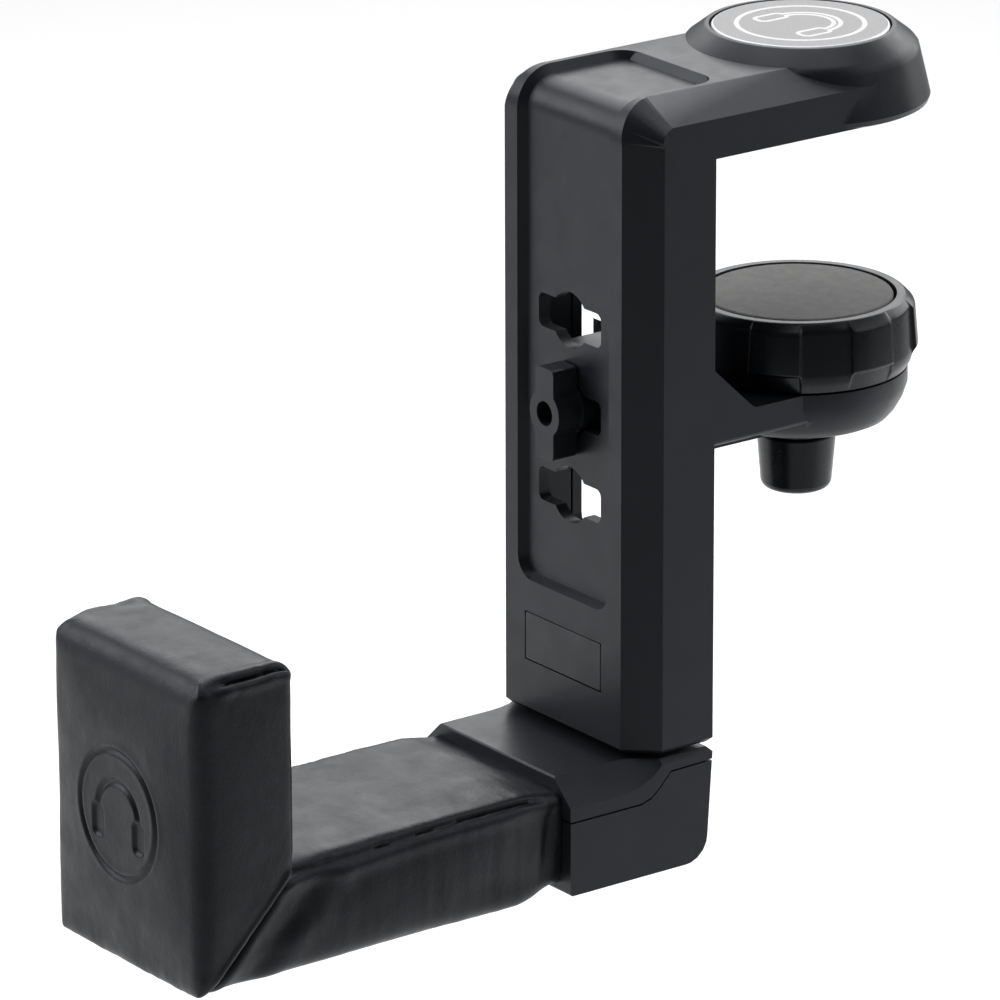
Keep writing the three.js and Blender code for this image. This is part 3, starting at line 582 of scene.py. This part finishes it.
def round_edge(p, axes, corner, radius):
    """Pulls the points near an edge onto a quarter circle. The corner is its place along each of the
    two axes, then the sign of the way out of the solid along each of them."""
    (i, j), (ci, cj, si, sj) = axes, corner
    centre_i, centre_j = ci - si * radius, cj - sj * radius
    di, dj = (p[:, i] - centre_i) * si, (p[:, j] - centre_j) * sj
    reach = np.hypot(di, dj)
    outside = (di > 0) & (dj > 0) & (reach > radius)
    pull = np.where(outside, radius / np.maximum(reach, 1e-9), 1.0)
    p[:, i] = np.where(outside, centre_i + si * di * pull, p[:, i])
    p[:, j] = np.where(outside, centre_j + sj * dj * pull, p[:, j])


def mitre_y(z):
    """Where the seam between the pads runs, at a height."""
    (y1, z1), (y0, z0) = MITRE_HIGH, MITRE_LOW
    return y0 + (np.asarray(z) - z0) * (y1 - y0) / (z1 - z0)


def mitre_distance(p):
    """How far a point is from the mitre plane, positive on the arm's side."""
    (y1, z1), (y0, z0) = MITRE_HIGH, MITRE_LOW
    length = math.hypot(y1 - y0, z1 - z0)
    return ((p[:, 1] - y0) * (z1 - z0) - (p[:, 2] - z0) * (y1 - y0)) / length


def tuck_in(depth, radius):
    """How far a skin has rolled inwards at a depth from its seam."""
    d = np.clip(depth / radius, 0, 1)
    return radius * (1 - np.sqrt(1 - (1 - d) ** 2))


def post_shape():
    half, front, back, low, high = POST.values()
    grid, faces = box_grid((40, 17, 52))
    x, y = grid[:, 0] * half, (front + back) / 2 + grid[:, 1] * (back - front) / 2
    share = (grid[:, 2] + 1) / 2
    (y1, z1), (y0, z0) = MITRE_HIGH, MITRE_LOW
    floor = np.where(y < y0, low, z0 + (y - y0) * (z1 - z0) / (y1 - y0))
    p = np.stack([x, y, floor + share * (high - floor)], axis=1)
    depth = -mitre_distance(p)
    roll = np.where(p[:, 1] > y0 + 0.5, tuck_in(depth, SEAM_ROLL), 0)
    p[:, 0] -= np.sign(grid[:, 0]) * np.where(np.abs(grid[:, 0]) > 0.999, roll, 0)
    p[:, 1] -= np.where(grid[:, 1] > 0.999, tuck_in(depth, SEAM_ROLL), 0)
    for side in (-1, 1):
        round_edge(p, (0, 1), (side * half, front, side, -1), 2.6)
        round_edge(p, (0, 1), (side * half, back, side, 1), 1.5)
        top_radius = 1.6 + 3.2 * smooth((-83 - p[:, 1]) / 5)
        round_edge(p, (0, 2), (side * half, high, side, 1), top_radius)
        round_edge(p, (0, 2), (side * half, low, side, -1), 5.4)
    round_edge(p, (1, 2), (front, high, -1, 1), 4.8)
    round_edge(p, (1, 2), (back, high, 1, 1), 3.4)
    round_edge(p, (1, 2), (front, low, -1, -1), 2.8)
    return p, faces


def seam_drop(y):
    """How far, from 0 to 1, the arm's top seam has sunk down its side towards the post."""
    return smooth((-30 - y) / 35)


def arm_shape():
    half, tuck, mouth, low, high = ARM.values()
    grid, faces = box_grid((34, 62, 18))
    share = (grid[:, 1] + 1) / 2
    z = (low + high) / 2 + grid[:, 2] * (high - low) / 2
    y = mitre_y(z) + share * (tuck - mitre_y(z))
    into_mouth = smooth((y - (mouth - 8)) / 8)
    lift = smooth((y - (mouth - 9)) / 9)
    below, above = np.maximum(-grid[:, 2], 0), np.maximum(grid[:, 2], 0)
    z = z + below * MOUTH_LIFT * lift - above * into_mouth
    width = half - MOUTH_NARROW * into_mouth
    p = np.stack([grid[:, 0] * width, y, z], axis=1)
    roll = tuck_in(mitre_distance(p), SEAM_ROLL)
    p[:, 0] -= np.sign(grid[:, 0]) * np.where(np.abs(grid[:, 0]) > 0.999, roll, 0)
    p[:, 2] -= np.where(grid[:, 2] > 0.999, roll, 0)
    floor, roof = low + MOUTH_LIFT * lift, high - into_mouth
    for side in (-1, 1):
        round_edge(p, (0, 2), (side * width, roof, side, 1), 1.5 + 1.4 * seam_drop(y))
        round_edge(p, (0, 2), (side * width, floor, side, -1), 2.4)
    return p, faces


def pad_mesh(name, p, faces):
    mesh = bpy.data.meshes.new(name)
    mesh.from_pydata([place(*q) for q in p], [], faces)
    mesh.update()
    return mesh


def vertex_array(mesh, kind="co"):
    """The mesh's points in the drawing frame, or its normals."""
    values = np.empty(len(mesh.vertices) * 3)
    if kind == "normal":
        mesh.vertex_normals.foreach_get("vector", values)
        return values.reshape(-1, 3)
    mesh.vertices.foreach_get("co", values)
    return values.reshape(-1, 3) / MM + np.array([0, HEAD_Y, JAW_Z])


def set_points(mesh, p):
    mesh.vertices.foreach_set("co", ((p - np.array([0, HEAD_Y, JAW_Z])) * MM).ravel())
    mesh.update()


def refined(mesh):
    """The mesh with all of its faces split once, smoothly."""
    piece = bpy.data.objects.new("temp", mesh)
    bpy.context.scene.collection.objects.link(piece)
    piece.modifiers.new("split", "SUBSURF").levels = 1
    bpy.context.view_layer.update()
    fine = bpy.data.meshes.new_from_object(piece.evaluated_get(bpy.context.evaluated_depsgraph_get()))
    bpy.data.objects.remove(piece)
    fine.name = mesh.name
    return fine


def split_near_emblem(mesh):
    """Splits the faces round the emblem once more, so that its fine lines can be pressed in."""
    reach = EMBLEM["radius"] + 1.6

    def close(v):
        at = drawn(v.co)
        return at.y < POST["front"] + 2 and math.hypot(at.x, at.z - EMBLEM["z"]) < reach

    bm = bmesh.new()
    bm.from_mesh(mesh)
    edges = [e for e in bm.edges if all(close(v) for v in e.verts)]
    bmesh.ops.subdivide_edges(bm, edges=edges, cuts=1, use_grid_fill=True)
    bm.to_mesh(mesh)
    bm.free()


def evened(mesh, values, rounds):
    """Values at the points, each averaged with those of its neighbours, some rounds over."""
    ends = np.empty(len(mesh.edges) * 2, dtype=int)
    mesh.edges.foreach_get("vertices", ends)
    a, b = ends.reshape(-1, 2).T
    count = np.bincount(ends, minlength=len(values))[:, None]
    for _ in range(rounds):
        total = np.zeros_like(values)
        np.add.at(total, a, values[b])
        np.add.at(total, b, values[a])
        values = (values + total / count) / 2
    return values


def inflated(mesh, pinned, rounds):
    """The pad blown up a little by a cloth simulation, with its seams held and its folds evened."""
    start = vertex_array(mesh)
    piece = bpy.data.objects.new("inflating", mesh)
    bpy.context.scene.collection.objects.link(piece)
    group = piece.vertex_groups.new(name="seams")
    for index in np.nonzero(pinned)[0]:
        group.add([int(index)], 1.0, "REPLACE")
    cloth = piece.modifiers.new("cloth", "CLOTH")
    settings = cloth.settings
    settings.use_pressure = True
    settings.uniform_pressure_force = PRESSURE
    settings.vertex_group_mass = "seams"
    settings.pin_stiffness = 1
    settings.mass = 0.05
    settings.effector_weights.gravity = 0
    settings.quality = 5
    for frame_number in range(1, SIMULATED_FRAMES + 1):
        bpy.context.scene.frame_set(frame_number)
    fine = bpy.data.meshes.new_from_object(piece.evaluated_get(bpy.context.evaluated_depsgraph_get()))
    fine.name = mesh.name
    bpy.data.objects.remove(piece)
    bpy.context.scene.frame_set(1)
    moved = evened(mesh, vertex_array(fine) - start, rounds)
    reach = np.linalg.norm(moved, axis=1)
    print("cloth", mesh.name, "moved by up to", reach.max(), "mm, mean", reach.mean())
    moved *= (np.minimum(reach, LARGEST_SWELL) / np.maximum(reach, 1e-9))[:, None]
    set_points(fine, start + moved)
    return fine


def emblem_height(x, z):
    """The pressed emblem on the post's front: a ring round the pictogram."""
    z = z - EMBLEM["z"]
    off_ring = np.hypot(x, z) - EMBLEM["radius"]
    scale = 1.2
    sunk = smooth((0.22 - pictogram(x / scale, z / scale + 0.3) * scale) / 0.5)
    lip = near(off_ring - 0.85, 0.6) + near(off_ring + 0.85, 0.6)
    return -0.5 * near(off_ring, 0.42) - 0.55 * sunk + 0.1 * lip


def post_relief(p, n):
    """How far the post's skin stands out at each point: seams, piping, puckers, mitre and emblem."""
    half, back, high = POST["half"], POST["back"], POST["high"]
    x, y, z = p.T
    side, top, rear = np.abs(n[:, 0]), np.maximum(n[:, 2], 0), np.maximum(n[:, 1], 0)
    facing = np.maximum(-n[:, 1], 0)
    seam = np.hypot(np.abs(x) - (half - 0.3), z - (high - 0.5 - 0.25 * wave(p, (0.1, 0.22, 0.1), 3)))
    seam_on = smooth((y + 89.8) / 1.5)
    down = np.hypot(np.abs(x) - (half - 0.5), y - (back - 0.5))
    depth = -mitre_distance(p)
    stitched = 0.88 + 0.12 * wave(p, (0.5, 1.1, 0.5), 31)
    # the top seam, the roll of skin beside it, and the rear seam
    h = -1.35 * near(seam, 0.5) * seam_on * stitched
    h += 0.28 * near(seam - 1.7, 0.9) * seam_on
    h -= 0.45 * near(down, 0.45) * smooth((high - z) / 2)
    # the piping at the mitre, then the unevenness of the stuffing and of the skin
    h += 0.35 * near(depth - 0.9, 0.6) * side
    h += 0.06 * wave(p, (0.09, 0.09, 0.09), 9)
    h += 0.05 * wave(p, (0.5, 0.5, 0.35), 4) * (0.3 + near(seam, 4) + near(depth, 5))
    pucker = wave(p, (0.25, 1.3, 0.25), 12)
    h += 0.07 * pucker * near(seam, 2.6) * seam_on * smooth((y + 86) / 3)
    # the hollow and the swelling on the left of the top, the emblem, and the fold over the arm
    left = smooth((-x - 12) / 6) * top
    h += left * (0.1 * near(np.hypot(x + 19, y + 74.0), 3.6) - 0.35 * near(y + 79.0, 3.4))
    h += np.where(facing > 0.9, emblem_height(x, z), 0)
    h -= 0.5 * near(np.hypot(z - ARM["high"] - 0.5, y - back), 1.6) * rear
    return h


def arm_relief(p, n):
    """How far the arm's skin stands out at each point: seams, puckers, drape, mitre and mouth."""
    half, mouth, high = ARM["half"], ARM["mouth"], ARM["high"]
    x, y, z = p.T
    side, top, under = np.abs(n[:, 0]), np.maximum(n[:, 2], 0), np.maximum(-n[:, 2], 0)
    dip = 1.5 * seam_drop(y) + 0.5 * smooth((y + 24) / 8)
    line = high - 0.4 - dip - 0.16 * wave(p, (0.0, 0.2, 0.0), 5)
    seam = np.hypot(np.abs(x) - (half - 0.35), z - line)
    depth = mitre_distance(p)
    stitched = 0.88 + 0.12 * wave(p, (0.5, 1.1, 0.5), 33)
    open_part = 1 - smooth((y - (mouth - 0.5)) / 1.5)
    # the side seam, the roll of skin beside it, and the puckers that run in from it
    h = -0.95 * near(seam, 0.42) * stitched
    h += 0.26 * near(seam - 1.9, 1.2) * (0.5 + side)
    inward = np.maximum(half - np.abs(x), 0)
    puckers = wave(p, (0.16, 1.15, 0.2), 2) + 0.6 * wave(p, (0.3, 2.3, 0.3), 8)
    h += 0.06 * puckers * np.exp(-inward / 4.0) * top
    h += 0.05 * wave(p, (0.12, 0.5, 0.2), 21) * top
    # the loose skin on the sides, its folds near the mitre, and the pinch at the mouth
    drape = wave(p, (0.1, 0.42, 0.05), 6) + 0.5 * wave(p, (0.2, 1.0, 0.11), 7)
    h += (0.05 * drape + 0.12 * wave(p, (0.1, 0.13, 0.06), 11)) * side * smooth((line - z) / 2.5)
    folds = 0.5 * near(depth - 2.4, 1.3) - 0.45 * near(depth - 6.6, 2.2) + 0.25 * near(depth - 11, 2.4)
    h += folds * side * smooth((line - z + 1) / 4)
    h -= 0.55 * near(y - (mouth - 2.6) - 0.14 * (z + 12), 1.1) * side * near(z + 10, 5.5)
    # the mitre on top, and the unevenness of the stuffing and of the underside
    h -= 0.9 * near(depth - 0.3, 1.0) * top
    h -= 0.8 * near(np.hypot(np.abs(x) - half, depth - 1.5), 2.2) * top
    h += 0.09 * wave(p, (0.1, 0.1, 0.1), 14)
    h += 0.06 * wave(p, (0.5, 0.18, 0.2), 17) * under
    return h * (0.25 + 0.75 * open_part)


def crown(p, n, lows, highs, rise):
    """A soft swelling of each face, nothing along its edges."""
    mid, reach = (np.array(highs) + lows) / 2, (np.array(highs) - lows) / 2
    t = np.clip(1 - ((p - mid) / reach) ** 2, 0, 1)
    lift = np.zeros(len(p))
    for axis in range(3):
        u, v = (axis + 1) % 3, (axis + 2) % 3
        lift += np.abs(n[:, axis]) ** 2 * np.sqrt(t[:, u] * t[:, v]) * rise[axis]
    return lift


def build_pad(name, shape, relief, box, rise, pins, rounds, node):
    """One pad: its shape is blown up, refined, crowned inside the box and given its relief."""
    mesh = pad_mesh(name, *shape())
    mesh = refined(inflated(mesh, pins(vertex_array(mesh)), rounds))
    if node == "post_leather":
        split_near_emblem(mesh)
    p, n = vertex_array(mesh), vertex_array(mesh, "normal")
    p = p + n * crown(p, n, *box, rise)[:, None]
    set_points(mesh, p)
    n = vertex_array(mesh, "normal")
    set_points(mesh, p + n * relief(p, n)[:, None])
    piece = link(name, mesh, "hook", "leather", smooth_angle=80)
    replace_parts(piece, node)


HELD = 1.6  # how wide a strip of skin a seam holds still


def post_pins(p):
    at_side = np.abs(p[:, 0]) > POST["half"] - HELD
    top_seam = at_side & (p[:, 2] > POST["high"] - HELD)
    back_seam = at_side & (p[:, 1] > POST["back"] - HELD)
    return top_seam | back_seam | (mitre_distance(p) > -0.8)


def arm_pins(p):
    seam = (np.abs(p[:, 0]) > ARM["half"] - HELD) & (p[:, 2] > ARM["high"] - HELD)
    return seam | (p[:, 1] > ARM["mouth"] - 1) | (mitre_distance(p) < 0.8)


POST_BOX = (
    (-POST["half"], POST["front"], POST["low"]),
    (POST["half"], POST["back"], POST["high"]),
)
ARM_BOX = (
    (-ARM["half"], -88.0, ARM["low"]),
    (ARM["half"], ARM["tuck"], ARM["high"]),
)
build_pad("post_pad", post_shape, post_relief, POST_BOX, (0.4, 0.25, 0.2), post_pins, 24,
          "post_leather")
build_pad("arm_pad", arm_shape, arm_relief, ARM_BOX, (0.5, 0.0, 0.45), arm_pins, 3,
          "arm_leather")


# ---------- knob and clamp screw ----------
KNOB = {"bottom": 56.5, "top": 69.0, "lobes": 7, "first_lobe": -50.0, "step": 1.7}
KNOB_RECESS = {"radius": 17.1, "floor": 65.0}
KNOB_BORE = 4.3
KNOB_HOLLOW = {"inner": 9.5, "outer": 16.5, "mouth": 17.0, "roof": 61.5}
RIB = {"count": 6, "size": (8.2, 1.4, 6.4), "out": 13.2, "up": 4.2}
THREAD = {"radius": 4.0, "pitch": 1.25, "depth": 0.55, "low": 34.9, "high": 60.4}
SCREW_HEAD = {"radius": 7.4, "tall": 4.2}


def filleted(corners, steps=4):
    """A polyline of (radius, height, fillet) with its corners rounded, as an array of points."""
    points = []
    for i, (r, z, fillet) in enumerate(corners):
        here = Vector((r, z))
        if not fillet:
            points.append(here)
            continue
        before = Vector(corners[i - 1][:2]) - here
        after = Vector(corners[i + 1][:2]) - here
        start, end = here + before.normalized() * fillet, here + after.normalized() * fillet
        for k in range(steps + 1):
            t = k / steps
            points.append(start * (1 - t) ** 2 + here * 2 * t * (1 - t) + end * t * t)
    return np.array([list(q) for q in points])


def revolved(name, angles, sections, closed=True):
    """A ring of sections, each an array of (radius, height), one for each angle, about the screw."""
    count = len(sections[0])
    verts = []
    for angle, ring in zip(angles, sections):
        along_x, along_y = math.cos(angle), math.sin(angle)
        verts += [place(along_x * r, HEAD_Y + along_y * r, z) for r, z in ring]
    faces = []
    for i in range(len(angles)):
        j = (i + 1) % len(angles)
        for k in range(count if closed else count - 1):
            m = (k + 1) % count
            faces.append((i * count + k, j * count + k, j * count + m, i * count + m))
    mesh = bpy.data.meshes.new(name)
    mesh.from_pydata(verts, [], faces)
    return mesh


def make_knob():
    """A lobed grip: flats and raised lobes by turns, with softened steps and a chamfered rim."""
    low, high, lobes = KNOB["bottom"], KNOB["top"], KNOB["lobes"]
    recess, floor = KNOB_RECESS["radius"], KNOB_RECESS["floor"]
    hub, outer, mouth, roof = KNOB_HOLLOW.values()
    inner = [(KNOB_BORE, floor, 0), (recess, floor, 0), (recess, high, 0.15)]
    under = [(19.2, low, 0.25), (mouth, low, 0.2), (outer, roof, 0)]
    under += [(hub, roof, 0), (hub, low, 0.2), (KNOB_BORE, low, 0)]
    flats = [(18.7, high, 0.35), (19.7, 67.6, 0.6), (20.25, 59.6, 0.5), (20.1, 58.3, 0.5)]
    raised = [(18.7, high, 0.35), (20.3, 67.4, 0.6), (20.95, 60.2, 0.25), (20.25, 59.7, 0.2)]
    flat_section, lobe_section = filleted(inner + flats + under), filleted(inner + raised + under)
    half = 180 / lobes / 2
    angles, sections = [], []
    for i in range(lobes):
        middle = KNOB["first_lobe"] + i * 360 / lobes
        for edge, rising in ((middle - half, True), (middle + half, False)):
            for offset in (*np.linspace(-0.5, 0.5, 9) * KNOB["step"], *np.linspace(3, 2 * half - 3, 8)):
                t = smooth(offset / KNOB["step"] + 0.5)
                t = t if rising else 1 - t
                angles.append(math.radians(edge + offset))
                sections.append(flat_section * (1 - t) + lobe_section * t)
    mesh = revolved("knob_grip", angles, sections)
    bm = bmesh.new()
    bm.from_mesh(mesh)
    middle_of_ribs = Matrix.Translation(place(0, HEAD_Y, low + RIB["up"]))
    for i in range(RIB["count"]):
        rib = bmesh.ops.create_cube(bm, size=1)["verts"]
        bmesh.ops.scale(bm, vec=[length * MM for length in RIB["size"]], verts=rib)
        bmesh.ops.translate(bm, vec=(RIB["out"] * MM, 0, 0), verts=rib)
        turn = Matrix.Rotation(math.radians(360 / RIB["count"] * i), 4, "Z")
        bmesh.ops.transform(bm, matrix=middle_of_ribs @ turn, verts=rib)
    bmesh.ops.recalc_face_normals(bm, faces=bm.faces)
    bm.to_mesh(mesh)
    bm.free()
    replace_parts(link("knob_grip", mesh, "knob", "black_plastic", smooth_angle=40), "clamp_knob")


def make_screw():
    """The clamp screw with its real thread and a hexagon head. The head lies inside the knob and,
    unlike the CAD screw's, isn't bored for the pad's pin."""
    radius, pitch, depth, low, high = THREAD.values()
    angles = np.linspace(0, 2 * math.pi, 49)[:-1]
    heights = np.arange(low, high, pitch / 10)
    sections = []
    for a in angles:
        phase = (heights / pitch - a / (2 * math.pi)) % 1.0
        cut = smooth(1.25 - np.abs(phase - 0.5) * 3.2)
        end = smooth((heights - low) / 0.9)
        sections.append(np.stack([(radius - depth * cut) - 0.8 * (1 - end), heights], axis=1))
    mesh = revolved("screw_thread", angles, sections, closed=False)
    bm = bmesh.new()
    bm.from_mesh(mesh)
    bmesh.ops.holes_fill(bm, edges=[e for e in bm.edges if e.is_boundary])
    round_head, tall = SCREW_HEAD["radius"] * MM, SCREW_HEAD["tall"]
    head = bmesh.ops.create_cone(
        bm, cap_ends=True, segments=6, radius1=round_head, radius2=round_head, depth=tall * MM
    )
    bmesh.ops.translate(bm, vec=place(0, HEAD_Y, high + tall / 2), verts=head["verts"])
    bmesh.ops.recalc_face_normals(bm, faces=bm.faces)
    bm.to_mesh(mesh)
    bm.free()
    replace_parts(link("screw_thread", mesh, "knob", "steel", smooth_angle=50), "clamp_screw")


make_knob()
make_screw()


# ---------- rounded edges and finishes of the other pieces ----------
# How far each node's edges are rounded over, in millimetres.
EDGE_WIDTHS = {
    "frame_shell": 0.45,
    "frame_back_cover": 0.25,
    "label_plate": 0.12,
    "badge_disc": 0.12,
    "jaw_pad": 0.3,
    "hook_base_cover": 0.3,
    "hook_base_shell": 0.4,
    "clamp_arm": 0.5,
    "lock_key": 0.35,
    "screw_cap": 0.4,
    "pad_rubber": 0.25,
    "pad_plate": 0.2,
}
for node_name, edge_width in EDGE_WIDTHS.items():
    rounded_copy(node_name, edge_width)

# The nodes that keep their CAD shape get the same finishes.
for name, node in frame["nodes"].items():
    node.data.materials.clear()
    node.data.materials.append(MATERIALS[SLOT_OF[name]])
